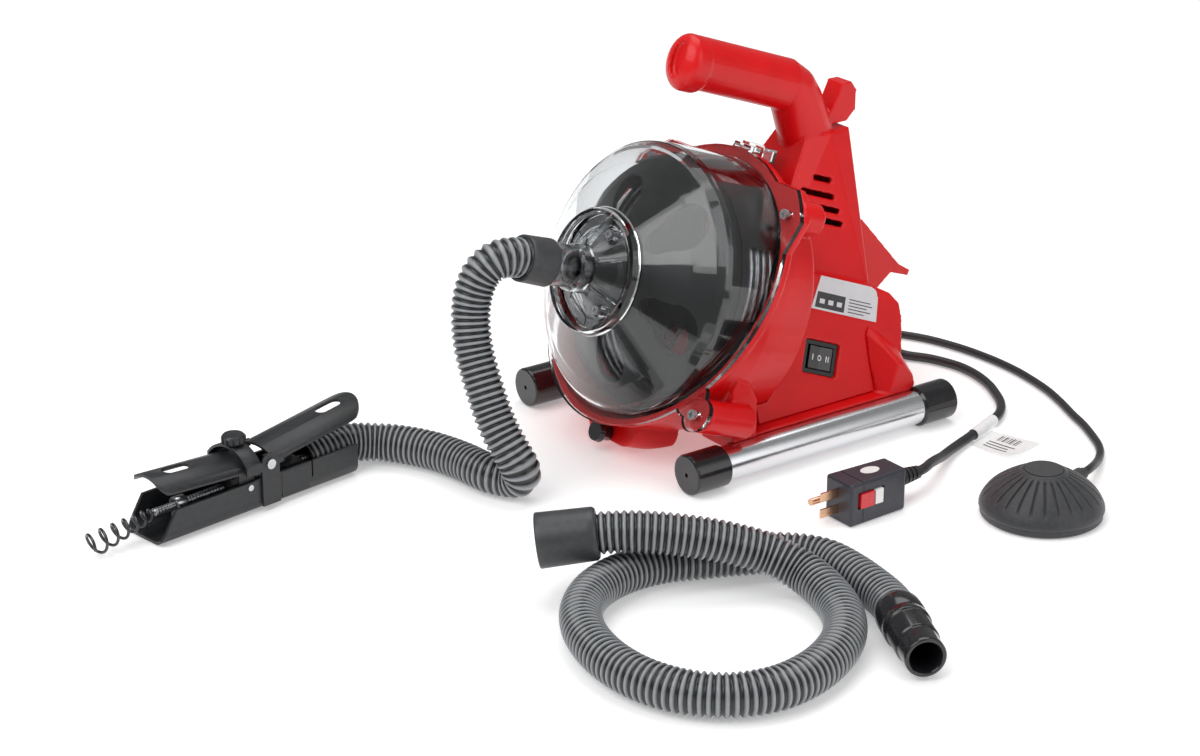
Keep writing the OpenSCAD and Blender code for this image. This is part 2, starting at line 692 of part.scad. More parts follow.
module power_gland() {
    color("#17171a") translate([-22, 93.05, 39]) rotate([-90, 0, 0]) {
        difference() {
            rotate_extrude($fn = 48) polygon([[0, 0], [8.5, 0], [8.5, 3], [6.5, 4], [5.2, 29.2], [0, 29.2]]);
            for (i = [0:4]) translate([0, 0, 7 + i * 4]) difference() {
                cylinder(r = 12, h = 1.6, $fn = 48);
                translate([0, 0, -1]) cylinder(r = 4.6, h = 4, $fn = 48);
            }
        }
        translate([0, 0, -6]) cylinder(r = 5.9, h = 6.1, $fn = 48);
    }
}

module power_cord() {
    color("#232326") sweep(power_route, cord_d / 2, 0, 8);
}

plug_end = [189.5, 12, 16];
module cord_boot() {
    color("#161618") translate(plug_end) rotate([90, 0, 0]) {
        difference() {
            rotate_extrude($fn = 48) polygon([[0, 0.1], [4.6, 0.1], [7.2, 25], [0, 25]]);
            for (i = [0:4]) translate([0, 0, 4 + i * 4]) difference() {
                cylinder(r = 12, h = 1.6, $fn = 48);
                translate([0, 0, -1]) cylinder(r = 3.9 + i * 0.4, h = 4, $fn = 48);
            }
        }
    }
}

module plug_body() {
    color("#303138") translate([plug_pos[0], plug_pos[1], 0]) difference() {
        hull() {
            for (x = [-1, 1]) for (z = [2.2, plug_size[2] - 2.2]) {
                translate([x * (plug_size[0] / 2 - 2.2), -plug_size[1] / 2 + 2.2, z]) sphere(r = 2.2, $fn = 16);
                translate([x * (plug_size[0] / 2 - 4), plug_size[1] / 2 - 2.2, z]) sphere(r = 2.2, $fn = 16);
            }
        }
        translate([plug_size[0] / 2 - 4.4, -19, 12]) cube([7, 24, 12]);
        translate([plug_end[0] - plug_pos[0], plug_size[1] / 2 - 0.6, 16]) rotate([-90, 0, 0])
            cylinder(r = 7.3, h = 5, $fn = 48);
        // seam round the body
        translate([-20, -14.6, -1]) difference() {
            cube([40, 0.7, 40]);
            translate([7.2, -1, 1.7]) cube([25.6, 3, plug_size[2] - 1.4]);
        }
    }
}

module plug_blades() {
    color("#c9a24a") {
        for (z = [10, 22]) translate([plug_pos[0] - 0.75, plug_pos[1] - plug_size[1] / 2 - 15.5, z - 3.1])
            cube([1.5, 16.2, 6.2]);
        translate([plug_pos[0] - 8.5, plug_pos[1] - plug_size[1] / 2 - 17.5, 16]) rotate([-90, 0, 0])
            cylinder(r = 2.4, h = 18.2, $fn = 24);
    }
}

module reset_button() {
    color("#d01820") translate([plug_pos[0] + plug_size[0] / 2 - 2.1, plug_pos[1] - 17.5, 12.6]) cube([3.4, 12, 10.8]);
}

module test_button() {
    color("#f0f0f0") translate([plug_pos[0] + plug_size[0] / 2 - 2.1, plug_pos[1] - 4.2, 12.6]) cube([3, 7, 10.8]);
}

module tag_sleeve() {
    color("#f2f2f2") translate([138.7, 121.7, 4.35]) rotate([0, 0, 20.5]) rotate([90, 0, 0])
        translate([0, 0, -16]) difference() {
            cylinder(r = 4.3, h = 32, $fn = 32);
            translate([0, 0, -1]) cylinder(r = 3.9, h = 34, $fn = 32);
        }
}

module cord_tag() {
    color("#f2f2f2") translate([0, 0, 0.3]) linear_extrude(0.4)
        polygon([[141, 128], [178, 141], [192, 97], [150, 100]]);
}

// ---- foot pedal ----

module air_fitting() {
    color("#b58b3c") translate([-46, 85, 34]) rotate([-90, 0, 0]) difference() {
        union() {
            cylinder(r = 4.4, h = 9, $fn = 48);
            translate([0, 0, 8.2]) cylinder(r = 6.5, h = 4, $fn = 6);
            translate([0, 0, 12]) cylinder(r = 4, h = 11, $fn = 48);
        }
        translate([0, 0, -1]) cylinder(r = 2.05, h = 6, $fn = 32);
    }
}

module air_hose() {
    color("#2b2c30") sweep(air_route, air_d / 2, 0, 8);
}

module pedal_base() {
    color("#2a2b2e") difference() {
        union() {
            translate(pedal_pos) rotate_extrude($fn = fine) polygon([[0, 0], [pedal_d / 2 - 3, 0],
                [pedal_d / 2 - 1, 1.5], [pedal_d / 2 - 1, 5], [0, 5]]);
            // barb for the air line, on its web
            translate(pedal_pos) rotate([0, 0, 14]) {
                translate([-4, pedal_d / 2 - 9, 4]) cube([8, 5, 8]);
                translate([0, pedal_d / 2 - 9, 12]) rotate([-90, 0, 0]) {
                    cylinder(r = 5.5, h = 15.5, $fn = 48);
                    cylinder(r = 4, h = 20, $fn = 48);
                }
            }
        }
        translate(pedal_pos + [0, 0, 2.5]) cylinder(r = 27, h = 10, $fn = fine);
    }
}

module pedal_bellows() {
    color("#2f3034") translate(pedal_pos) difference() {
        rotate_extrude($fn = fine) polygon([[29, 5.2], [pedal_d / 2 - 0.6, 5.2], [pedal_d / 2, 7],
            [pedal_d / 2 - 0.6, 10], [pedal_d / 2 - 3, 15], [pedal_d / 2 - 8, 21], [28.5, 27], [21, 31.2],
            [13.5, pedal_h - 0.4], [13.5, 30.8], [20, 28.6], [26, 24.8], [31, 20], [34, 14], [35, 8], [29, 8]]);
        for (i = [0:25]) rotate([0, 0, i * 360 / 26]) translate([17, -0.6, pedal_h - 5]) rotate([0, 32, 0])
            cube([22, 1.2, 8]);
        rotate([0, 0, 14]) translate([0, 20, 12]) rotate([-90, 0, 0]) cylinder(r = 5.9, h = 30, $fn = 48);
        rotate([0, 0, 14]) translate([-4.4, 20, 2]) cube([8.8, 19, 10]);
    }
}

module pedal_crown() {
    color("#2f3034") translate(pedal_pos) {
        translate([0, 0, pedal_h - 3.2]) cylinder(r = 13.2, h = 3.2, $fn = 64);
        translate([0, 0, 18]) cylinder(r = 6, h = pedal_h - 20, $fn = 48);
    }
}

// ---- guide hose and feed tool ----

module hose_cuff() {
    color("#3a3d3f") along(-104) rotate_extrude($fn = 64) polygon([[hose_d / 2 + 0.1, 0], [16, 0], [16.5, 0.6],
        [17.1, 22.5], [16.6, 23], [15.05, 23], [15.05, 11.9], [hose_d / 2 + 0.1, 11.9]]);
}

module guide_hose() {
    color("#2a2b2c") sweep(hose_route, hose_d / 2, hose_d / 2 - 4.5, 12);
}

module tool_frame() {
    translate([tool_x, tool_y, 0]) rotate([0, 0, 189]) children();
}

// A channel along Y, open above, with rounded lower edges.
module channel(w, r, z0, y0, length) {
    translate([-w / 2, y0, z0 + r]) cube([w, length, 30 - r]);
    translate([-w / 2 + r, y0, z0]) cube([w - 2 * r, length, r + 1]);
    for (x = [-1, 1]) translate([x * (w / 2 - r), y0, z0 + r]) rotate([-90, 0, 0])
        cylinder(r = r, h = length, $fn = 48);
}

module tool_shell() {
    color("#303236") tool_frame() difference() {
        union() {
            channel(tool_w, 9, 0.2, 5, tool_len);
            // stiffening panels on the side walls
            for (side = [-1, 1]) translate([side * (tool_w / 2 - 0.4) - 0.6, 49, 5]) cube([1.2, 24, 18]);
        }
        channel(tool_w - 2 * tool_wall, 9 - tool_wall, 0.2 + tool_wall, 4, tool_len + 2);
        translate([-30, 0, 24]) cube([60, 190, 20]);
        // sloping mouth
        translate([-30, 5 + tool_len, 4]) rotate([33, 0, 0]) cube([60, 20, 40]);
        // front pivot bores and a notch behind the bracket
        translate([-30, 100, 20.5]) rotate([0, 90, 0]) cylinder(r = 2.2, h = 60, $fn = 32);
        translate([-30, 45.5, 12]) cube([60, 1.2, 20]);
    }
}

arch_r = 27.5;
module tool_bracket() {
    color("#2a2c30") tool_frame() difference() {
        union() {
            for (side = [-1, 1]) translate([side * (tool_w / 2 + 1.05) - 0.95, 0, 0]) {
                translate([0, 76, 4]) cube([1.9, 15, 30.5]);
                translate([0, 83.5, 34]) rotate([0, 90, 0]) cylinder(r = 7.5, h = 1.9, $fn = 48);
                translate([0, 83.5, 30]) cube([1.9, 20.5, 6.2]);
            }
            // arch over both levers' inner ends
            intersection() {
                translate([0, 91.5, 19.5]) rotate([-90, 0, 0]) difference() {
                    cylinder(r = arch_r, h = 12.5, $fn = fine);
                    translate([0, 0, -1]) cylinder(r = arch_r - 1.9, h = 20, $fn = fine);
                }
                translate([-22, 80, 36]) cube([44, 30, 20]);
            }
        }
        translate([-30, 83.5, 34]) rotate([0, 90, 0]) cylinder(r = 2.5, h = 60, $fn = 32);
        translate([0, 97.5, 40]) cylinder(r = 3.06, h = 20, $fn = 32);
    }
}

module tool_knob() {
    color("#1a1b1d") tool_frame() translate([0, 97.5, 0]) difference() {
        union() {
            translate([0, 0, 42.6]) cylinder(r = 3, h = 5, $fn = 32);
            translate([0, 0, 47.4]) rotate_extrude($fn = 48) polygon([[0, 0], [7.6, 0], [8.6, 1], [8.6, 4.6],
                [7, 6.2], [0, 6.6]]);
        }
        for (a = [0:45:315]) rotate([0, 0, a]) translate([10, 0, 46]) cylinder(r = 2.4, h = 10, $fn = 24);
    }
}

// A strip along -Y or +Y from its pivot end, crowned across its width.
module crowned(w, crown, t, y0, length) {
    r = (w * w / 4 + crown * crown) / (2 * crown);
    intersection() {
        translate([0, y0, crown - r]) rotate([-90, 0, 0]) difference() {
            cylinder(r = r, h = length, $fn = fine);
            translate([0, 0, -1]) cylinder(r = r - t, h = length + 2, $fn = fine);
        }
        translate([-w / 2, y0, -1.5]) cube([w, length, crown + 3]);
    }
}

module lever_slot(y) {
    translate([0, y - 5.5, -5]) cylinder(r = 5, h = 30, $fn = 48);
    translate([0, y + 5.5, -5]) cylinder(r = 5, h = 30, $fn = 48);
    translate([-5, y - 5.5, -5]) cube([10, 11, 30]);
}

module front_lever() {
    color("#303236") tool_frame() translate([0, 96, 32.5]) rotate([4, 0, 0]) difference() {
        union() {
            crowned(39, 8, 2, 0, 76);
            for (side = [-1, 1]) translate([side * 16.4 - 0.8, -2, -15]) cube([1.6, 13, 17.5]);
        }
        lever_slot(52);
        rotate([-4, 0, 0]) translate([-30, 4, -12]) rotate([0, 90, 0]) cylinder(r = 2.26, h = 60, $fn = 32);
        // rounded corners of the tip
        for (side = [-1, 1]) translate([side * 19.5, 76, -5]) difference() {
            translate([-9, -9, 0]) cube([18, 18, 30]);
            translate([-side * 9, -9, -1]) cylinder(r = 9, h = 40, $fn = 48);
            translate([side > 0 ? -40 : 9, -20, -1]) cube([31, 40, 40]);
            translate([-20, -40, -1]) cube([40, 31, 40]);
        }
    }
}

module rear_lever() {
    color("#303236") tool_frame() translate([0, 78, 34]) rotate([-8, 0, 0]) difference() {
        union() {
            intersection() {
                crowned(38.8, 7, 2, -88, 88);
                union() {
                    translate([-20, -68, -10]) cube([40, 70, 40]);
                    translate([0, -68, -10]) cylinder(r = 19.4, h = 40, $fn = 64);
                }
            }
            for (side = [-1, 1]) translate([side * 18.5 - 0.8, -8, -4]) cube([1.6, 16.5, 5.6]);
        }
        lever_slot(-65);
        rotate([8, 0, 0]) translate([-30, 5.5, 0]) rotate([0, 90, 0]) cylinder(r = 2.56, h = 60, $fn = 32);
    }
}

module lever_pins() {
    color("#b9bcc2") tool_frame() for (side = [0, 1]) mirror([side, 0, 0]) {
        translate([16, 83.5, 34]) rotate([0, 90, 0]) {
            cylinder(r = 2.5, h = 6.6, $fn = 32);
            translate([0, 0, 6.1]) cylinder(r = 3.6, h = 1.1, $fn = 32);
        }
        translate([15, 100, 20.5]) rotate([0, 90, 0]) cylinder(r = 2.2, h = 5.6, $fn = 32);
    }
}

// Centres of the two blocks that carry the feed rollers.
block_y = [56, 101];
module roller_seats(r, length) {
    for (y = block_y) for (a = [90, 210, 330])
        translate([0, y, cable_z]) rotate([0, -a, 0]) translate([cable_d / 2 + 4.1, 0, 0]) rotate([12, 0, 0])
            rotate([-90, 0, 0]) translate([0, 0, -length / 2]) cylinder(r = r, h = length, $fn = 32);
}

module roller_block() {
    color("#1d1e20") tool_frame() difference() {
        for (y = block_y) intersection() {
            translate([-13.5, y - 8, 0.25 + tool_wall]) cube([27, 16, 21]);
            channel(tool_w - 2 * tool_wall - 0.1, 9 - tool_wall, 0.25 + tool_wall, y - 9, 18);
        }
        translate([0, 30, cable_z]) rotate([-90, 0, 0]) cylinder(r = cable_d / 2 + 0.6, h = 90, $fn = 32);
        roller_seats(4.1, 10.4);
    }
}

module tool_rollers() {
    color("#c4c7cc") tool_frame() roller_seats(4, 10);
}

module exit_guide() {
    color("#c4c7cc") tool_frame() difference() {
        union() {
            translate([0, 142, cable_z]) rotate([-90, 0, 0]) cylinder(r = 6, h = 8, $fn = 48);
            translate([-4, 142, 0.2 + tool_wall]) cube([8, 8, 12]);
        }
        translate([0, 140, cable_z]) rotate([-90, 0, 0]) cylinder(r = cable_d / 2 + 0.4, h = 20, $fn = 32);
    }
}

module tool_cable() {
    color("#6f7276") tool_frame() translate([0, -14, cable_z]) rotate([-90, 0, 0])
        cylinder(d = cable_d, h = 180.4, $fn = 32);
}

auger_turns = 6.5;
auger_droop = 8;
module auger_tip() {
    color("#34363a") tool_frame() translate([0, 167.3, cable_z]) rotate([-auger_droop, 0, 0]) {
        rotate([-90, 0, 0]) cylinder(r = 3, h = 5, $fn = 32);
        sweep([for (i = [0:auger_turns * 12]) let (t = i / auger_turns / 12)
            [(3.4 + 4.6 * t) * cos(30 * i), 1.7 + 52 * pow(t, 1.3), (3.4 + 4.6 * t) * sin(30 * i)]], 1.1, 0, 6);
    }
}

// ---- spare hose ----

module spare_cuff() {
    color("#3a3d3f") translate(spare_route[0]) rotate([0, 82, 54]) rotate_extrude($fn = 64)
        polygon([[hose_d / 2 + 0.15, 11], [16.2, 11], [17.4, 9], [18.2, -27], [17.8, -28], [15.5, -28], [15.5, -6],
            [hose_d / 2 - 4, -6], [hose_d / 2 - 4, -0.1], [hose_d / 2 + 0.15, -0.1]]);
}

module spare_hose() {
    color("#2a2b2c") sweep(spare_route, hose_d / 2, hose_d / 2 - 4.5, 12);
}

module spare_adapter() {
    color("#1b1c1e") translate(spare_route[len(spare_route) - 1]) rotate([0, 90, -25.5]) rotate_extrude($fn = 64)
        polygon([[hose_d / 2 + 0.15, -8], [15.4, -8], [15.6, -6], [15.6, 6], [15, 7], [15, 9], [15.6, 10], [15.6, 15],
            [14.4, 16], [14.4, 36], [13.4, 37], [13.2, 53], [12.6, 54], [10.8, 54], [9.5, 51], [9.5, 0.1],
            [hose_d / 2 + 0.15, 0.1]]);
}

front_housing();
rear_housing();
clear_cover();
cover_nose();
cover_screws();
nose_screws();
nose_bush();
drum_front();
drum_back();
drum_shaft();
drum_pulley();
cable_coil();
cable_riser();
drum_bearings();
motor();
motor_shaft();
motor_fan();
drive_belt();
air_switch();
tube_left();
tube_right();
cap_front_left();
cap_front_right();
cap_rear_left();
cap_rear_right();
tube_screws();
switch_bezel();
switch_rocker();
rating_label();
drain_plug();
power_gland();
power_cord();
cord_boot();
plug_body();
plug_blades();
reset_button();
test_button();
tag_sleeve();
cord_tag();
air_fitting();
air_hose();
pedal_base();
pedal_bellows();
pedal_crown();
hose_cuff();
guide_hose();
tool_shell();
tool_bracket();
tool_knob();
front_lever();
rear_lever();
lever_pins();
roller_block();
tool_rollers();
exit_guide();
tool_cable();
auger_tip();
spare_cuff();
spare_hose();
spare_adapter();
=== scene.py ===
"""Looks of the drain snake machine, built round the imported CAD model. Metres throughout."""

import math

import bmesh
import bpy
from mathutils import Matrix, Vector
from mathutils.bvhtree import BVHTree


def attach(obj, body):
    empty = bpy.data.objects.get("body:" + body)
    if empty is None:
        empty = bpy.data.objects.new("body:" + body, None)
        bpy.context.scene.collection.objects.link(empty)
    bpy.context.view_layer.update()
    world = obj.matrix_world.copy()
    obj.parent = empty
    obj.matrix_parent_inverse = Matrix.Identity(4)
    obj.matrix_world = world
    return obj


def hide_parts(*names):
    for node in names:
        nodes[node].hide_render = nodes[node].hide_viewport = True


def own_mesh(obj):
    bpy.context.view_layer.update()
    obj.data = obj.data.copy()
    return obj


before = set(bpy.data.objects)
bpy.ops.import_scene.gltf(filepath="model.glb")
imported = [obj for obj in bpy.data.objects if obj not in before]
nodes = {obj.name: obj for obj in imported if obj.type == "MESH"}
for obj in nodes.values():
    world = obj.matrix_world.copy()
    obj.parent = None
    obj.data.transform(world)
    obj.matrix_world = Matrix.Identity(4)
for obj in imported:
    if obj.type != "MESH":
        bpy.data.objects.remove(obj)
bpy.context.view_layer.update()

MM = 0.001
# Nose-up tilt of the drum's axis, and the centre of the clear cover's front rim
TILT = math.radians(20)
RIM = Vector((0, -92, 125)) * MM

# ---------------------------------------------------------------- camera

# From the front right, looking down by CAMERA_DROP degrees
CAMERA_AT = (1.5163, -1.2177, 0.8192)
CAMERA_DROP = 22.206
CAMERA_SWING = 54.165
SENSOR = 36
LENS = 85.1
FAR = 50

camera = bpy.data.objects.new("camera", bpy.data.cameras.new("camera"))
bpy.context.scene.collection.objects.link(camera)
camera.location = CAMERA_AT
camera.rotation_euler = (math.radians(90 - CAMERA_DROP), 0, math.radians(CAMERA_SWING))
camera.data.sensor_width = SENSOR
camera.data.lens = LENS
camera.data.clip_end = FAR
bpy.context.scene.camera = camera


# ---------------------------------------------------------------- materials

def socket(node, name, value):
    node.inputs[name].default_value = value


def material(name, colour, rough, metallic=0.0, spread=0.12, scale=260.0, bump=0.15, grain=900.0,
             depth=0.0002, coat=0.0, spec=0.5, stretch=(1, 1, 1), rough_spread=0.1, sheen=0.0):
    """A shader whose colour, roughness and fine relief all vary over the surface."""
    mat = bpy.data.materials.new(name)
    mat.use_nodes = True
    tree = mat.node_tree
    shader = tree.nodes["Principled BSDF"]
    socket(shader, "Metallic", metallic)
    socket(shader, "Specular IOR Level", spec)
    socket(shader, "Coat Weight", coat)
    socket(shader, "Coat Roughness", 0.08)
    socket(shader, "Sheen Weight", sheen)
    place = tree.nodes.new("ShaderNodeTexCoord")
    fit = tree.nodes.new("ShaderNodeMapping")
    fit.inputs["Scale"].default_value = stretch
    tree.links.new(place.outputs["Object"], fit.inputs["Vector"])
    broad = tree.nodes.new("ShaderNodeTexNoise")
    socket(broad, "Scale", scale)
    socket(broad, "Detail", 4)
    tree.links.new(fit.outputs["Vector"], broad.inputs["Vector"])
    ramp = tree.nodes.new("ShaderNodeValToRGB")
    low, high = ramp.color_ramp.elements
    low.position, high.position = 0.3, 0.7
    low.color = [c * (1 - spread) for c in colour] + [1]
    high.color = [min(1, c * (1 + spread)) for c in colour] + [1]
    tree.links.new(broad.outputs["Fac"], ramp.inputs["Fac"])
    tree.links.new(ramp.outputs["Color"], shader.inputs["Base Color"])
    span = tree.nodes.new("ShaderNodeMapRange")
    socket(span, "To Min", max(0.02, rough - rough_spread / 2))
    socket(span, "To Max", rough + rough_spread / 2)
    tree.links.new(broad.outputs["Fac"], span.inputs["Value"])
    tree.links.new(span.outputs["Result"], shader.inputs["Roughness"])
    fine = tree.nodes.new("ShaderNodeTexNoise")
    socket(fine, "Scale", grain)
    socket(fine, "Detail", 3)
    tree.links.new(fit.outputs["Vector"], fine.inputs["Vector"])
    relief = tree.nodes.new("ShaderNodeBump")
    socket(relief, "Strength", bump)
    socket(relief, "Distance", depth)
    tree.links.new(fine.outputs["Fac"], relief.inputs["Height"])
    tree.links.new(relief.outputs["Normal"], shader.inputs["Normal"])
    return mat


def rib_painted_light(mat, valley_shade, crest):
    """Paints light and shade into the material by the mesh's own 'crest' attribute: painted shade in the
    valleys, a painted highlight on the crests.
    """
    tree = mat.node_tree
    shader = tree.nodes["Principled BSDF"]
    source = tree.nodes.new("ShaderNodeAttribute")
    source.attribute_name = "crest"
    ramp = tree.nodes.new("ShaderNodeValToRGB")
    low, high = ramp.color_ramp.elements
    low.position, high.position = 0.45, 0.95
    low.color = (*valley_shade, 1)
    high.color = (*crest, 1)
    tree.links.new(source.outputs["Fac"], ramp.inputs["Fac"])
    mix = tree.nodes.new("ShaderNodeMix")
    mix.data_type = "RGBA"
    mix.blend_type = "MULTIPLY"
    mix.inputs[0].default_value = 0.5
    old = shader.inputs["Base Color"].links[0].from_socket
    tree.links.new(ramp.outputs["Color"], mix.inputs[6])
    tree.links.new(old, mix.inputs[7])
    tree.links.new(mix.outputs[2], shader.inputs["Base Color"])
    return mat


def clear(name, colour, rough, scale):
    """Slightly uneven transparent plastic."""
    mat = material(name, colour, rough, spread=0.015, scale=scale, bump=0.03, grain=90, depth=0.0002,
                   rough_spread=0.02)
    shader = mat.node_tree.nodes["Principled BSDF"]
    socket(shader, "Transmission Weight", 1.0)
    socket(shader, "IOR", 1.46)
    return mat


RED = material("red_plastic", (0.66, 0.004, 0.006), 0.33, spread=0.05, scale=40, bump=0.06, grain=700,
               coat=0.1, spec=0.3)
BLACK = material("black_plastic", (0.016, 0.017, 0.019), 0.36, spread=0.25, bump=0.25, grain=1300)
DRUM = material("drum_plastic", (0.008, 0.0085, 0.009), 0.4, spread=0.25, bump=0.2, grain=800, spec=0.38)
CAP = material("cap_plastic", (0.010, 0.010, 0.012), 0.2, spread=0.25, bump=0.08, grain=600, coat=0.3)
TOOL = material("tool_plastic", (0.016, 0.017, 0.019), 0.38, spread=0.25, bump=0.55, grain=1500, depth=0.0003)
CUFF = material("cuff_plastic", (0.042, 0.045, 0.048), 0.42, spread=0.15, bump=0.3, grain=1400)
# The hose's colour is painted shade in the rib valleys and a painted highlight on the crests
HOSE = rib_painted_light(material("hose_plastic", (0.9, 0.9, 0.9), 0.33, spread=0.15, bump=0.1, grain=900, coat=0.2),
              (0.012, 0.013, 0.014), (0.30, 0.315, 0.33))
CORD = material("cord_rubber", (0.022, 0.022, 0.025), 0.42, spread=0.15, bump=0.15, grain=900)
PEDAL = material("pedal_rubber", (0.030, 0.031, 0.034), 0.52, spread=0.2, bump=0.5, grain=1500, sheen=0.15)
PLUG = material("plug_plastic", (0.028, 0.029, 0.040), 0.36, spread=0.15, bump=0.4, grain=1300)
ZINC = material("zinc_tube", (0.73, 0.74, 0.76), 0.2, metallic=1.0, spread=0.06, scale=60, bump=0.05,
                grain=500, stretch=(1, 0.06, 1), rough_spread=0.12)
STEEL = material("steel", (0.52, 0.53, 0.55), 0.3, metallic=1.0, spread=0.12, bump=0.12, grain=900)
WIRE = material("cable_steel", (0.42, 0.43, 0.45), 0.36, metallic=1.0, spread=0.25, bump=0.2, grain=900)
DARK_WIRE = material("auger_steel", (0.085, 0.085, 0.09), 0.3, metallic=1.0, spread=0.3, bump=0.25, grain=900)
BRASS = material("brass", (0.62, 0.44, 0.18), 0.3, metallic=1.0, spread=0.12, bump=0.1, grain=700)
BLADE = material("blade_metal", (0.66, 0.40, 0.26), 0.25, metallic=1.0, spread=0.1, bump=0.08, grain=700)
MOTOR = material("motor_metal", (0.16, 0.165, 0.18), 0.45, metallic=0.6, spread=0.2, bump=0.3, grain=700)
LABEL = material("label_film", (0.66, 0.66, 0.68), 0.35, spread=0.03, scale=120, bump=0.05, grain=600)
INK = material("label_ink", (0.035, 0.036, 0.04), 0.42, spread=0.2, bump=0.05, grain=600)
WHITE = material("white_plastic", (0.80, 0.80, 0.78), 0.35, spread=0.03, bump=0.05, grain=600)
PAPER = material("tag_paper", (0.84, 0.84, 0.84), 0.7, spread=0.04, bump=0.2, grain=1100)
BUTTON = material("red_button", (0.62, 0.012, 0.02), 0.28, spread=0.05, bump=0.05, grain=600, coat=0.3)
COVER = clear("cover_plastic", (0.93, 0.945, 0.955), 0.04, 30)
NOSE = clear("nose_plastic", (0.86, 0.885, 0.90), 0.07, 60)

finish_of = {
    "drum_front": DRUM, "drum_back": DRUM, "drum_shaft": STEEL, "drum_pulley": BLACK,
    "cable_riser": BLACK, "drum_bearings": STEEL, "motor": MOTOR, "motor_shaft": STEEL,
    "motor_fan": BLACK, "drive_belt": CORD, "air_switch": BLACK, "tube_left": ZINC, "tube_right": ZINC,
    "cap_front_left": CAP, "cap_front_right": CAP, "cap_rear_left": CAP, "cap_rear_right": CAP,
    "tube_screws": STEEL, "cover_screws": STEEL, "nose_screws": STEEL, "nose_bush": DARK_WIRE,
    "clear_cover": COVER, "cover_nose": NOSE, "switch_bezel": BLACK, "switch_rocker": CAP,
    "rating_label": LABEL, "drain_plug": CAP, "power_gland": CORD, "cord_boot": CORD, "plug_body": PLUG,
    "plug_blades": BLADE, "reset_button": BUTTON, "test_button": WHITE, "tag_sleeve": PAPER,
    "air_fitting": BRASS, "pedal_base": PEDAL, "pedal_crown": PEDAL, "hose_cuff": CUFF,
    "tool_shell": TOOL, "tool_bracket": TOOL, "tool_knob": BLACK, "front_lever": TOOL,
    "rear_lever": TOOL, "lever_pins": STEEL, "roller_block": BLACK, "tool_rollers": STEEL,
    "exit_guide": STEEL, "spare_cuff": CUFF, "spare_adapter": CAP, "front_housing": RED,
    "rear_housing": RED,
}
# Width of the rounded edges of the CAD pieces that stay, in millimetres
edge_of = {
    "tool_shell": 0.7, "tool_bracket": 0.5, "front_lever": 0.5, "rear_lever": 0.5, "switch_bezel": 0.5,
    "switch_rocker": 0.4, "reset_button": 0.5, "test_button": 0.5, "drain_plug": 0.5, "tool_knob": 0.5,
    "spare_cuff": 0.6, "hose_cuff": 0.4, "spare_adapter": 0.5, "plug_blades": 0.2, "exit_guide": 0.3,
}


def rounded(obj, width):
    """Welds the split corners of a CAD mesh and rounds its sharp edges."""
    weld = obj.modifiers.new("weld", "WELD")
    weld.merge_threshold = 1e-5
    bevel = obj.modifiers.new("bevel", "BEVEL")
    bevel.width = width * MM
    bevel.segments = 2
    bevel.limit_method = "ANGLE"
    bevel.angle_limit = math.radians(40)
    bevel.harden_normals = True


for name, mat in finish_of.items():
    node = nodes[name]
    node.data.materials.clear()
    node.data.materials.append(mat)
    if name in edge_of:
        rounded(node, edge_of[name])


# ---------------------------------------------------------------- mesh helpers

def piece(name, verts, faces, mat, body, slot, replaced=(), smooth=True):
    """A new mesh piece that rides on a body."""
    mesh = bpy.data.meshes.new(name)
    mesh.from_pydata([tuple(v) for v in verts], [], faces)
    mesh.update()
    obj = bpy.data.objects.new(name, mesh)
    bpy.context.scene.collection.objects.link(obj)
    mesh.materials.append(mat)
    if smooth:
        mesh.polygons.foreach_set("use_smooth", [True] * len(mesh.polygons))
    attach(obj, body)
    if replaced:
        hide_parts(*replaced)
    return obj


# Points worked out between two of a route's own
CURVE_STEPS = 16


def smooth_line(points, step):
    """Evenly spaced points on one smooth curve through the route's points."""
    pts = [Vector(p) for p in points]
    pts = [pts[0] * 2 - pts[1]] + pts + [pts[-1] * 2 - pts[-2]]
    dense = []
    for i in range(1, len(pts) - 2):
        a, b, c, d = pts[i - 1:i + 3]
        for k in range(CURVE_STEPS):
            t = k / CURVE_STEPS
            dense.append(0.5 * (2 * b + (c - a) * t + (2 * a - 5 * b + 4 * c - d) * t * t
                                + (3 * b - a - 3 * c + d) * t ** 3))
    dense.append(pts[-2])
    marks = [0.0]
    for a, b in zip(dense, dense[1:]):
        marks.append(marks[-1] + (b - a).length)
    count = max(2, round(marks[-1] / step))
    line, j = [], 0
    for k in range(count + 1):
        want = marks[-1] * k / count
        while j < len(marks) - 2 and marks[j + 1] < want:
            j += 1
        share = (want - marks[j]) / max(marks[j + 1] - marks[j], 1e-9)
        line.append(dense[j].lerp(dense[j + 1], share))
    return line, marks[-1]


def frames(line):
    """A direction and two square directions at each point, carried along without twist."""
    out, side = [], None
    for i, p in enumerate(line):
        t = (line[min(i + 1, len(line) - 1)] - line[max(i - 1, 0)]).normalized()
        if side is None:
            side = t.cross(Vector((0, 0, 1)) if abs(t.z) < 0.9 else Vector((1, 0, 0)))
        side = (side - t * side.dot(t)).normalized()
        out.append((t, side, t.cross(side)))
    return out


def swept(line, radii, sides, inner=None):
    """Rings of the given radii along a line; with inner, the wall folds back inside."""
    rings = list(zip(line, radii, frames(line)))
    if inner:
        rings = rings + [(p, inner, f) for p, r, f in reversed(rings)][::4] + [(line[0], inner, rings[0][2])]
    verts, faces = [], []
    for p, r, (_, u, v) in rings:
        for j in range(sides):
            a = 2 * math.pi * j / sides
            verts.append(p + (u * math.cos(a) + v * math.sin(a)) * r)
    last = len(rings)
    for i in range(last - (0 if inner else 1)):
        n = (i + 1) % last
        for j in range(sides):
            k = (j + 1) % sides
            faces.append((i * sides + j, n * sides + j, n * sides + k, i * sides + k))
    if not inner:
        faces.append(tuple(range(sides)))
        faces.append(tuple((last - 1) * sides + j for j in reversed(range(sides))))
    return verts, faces


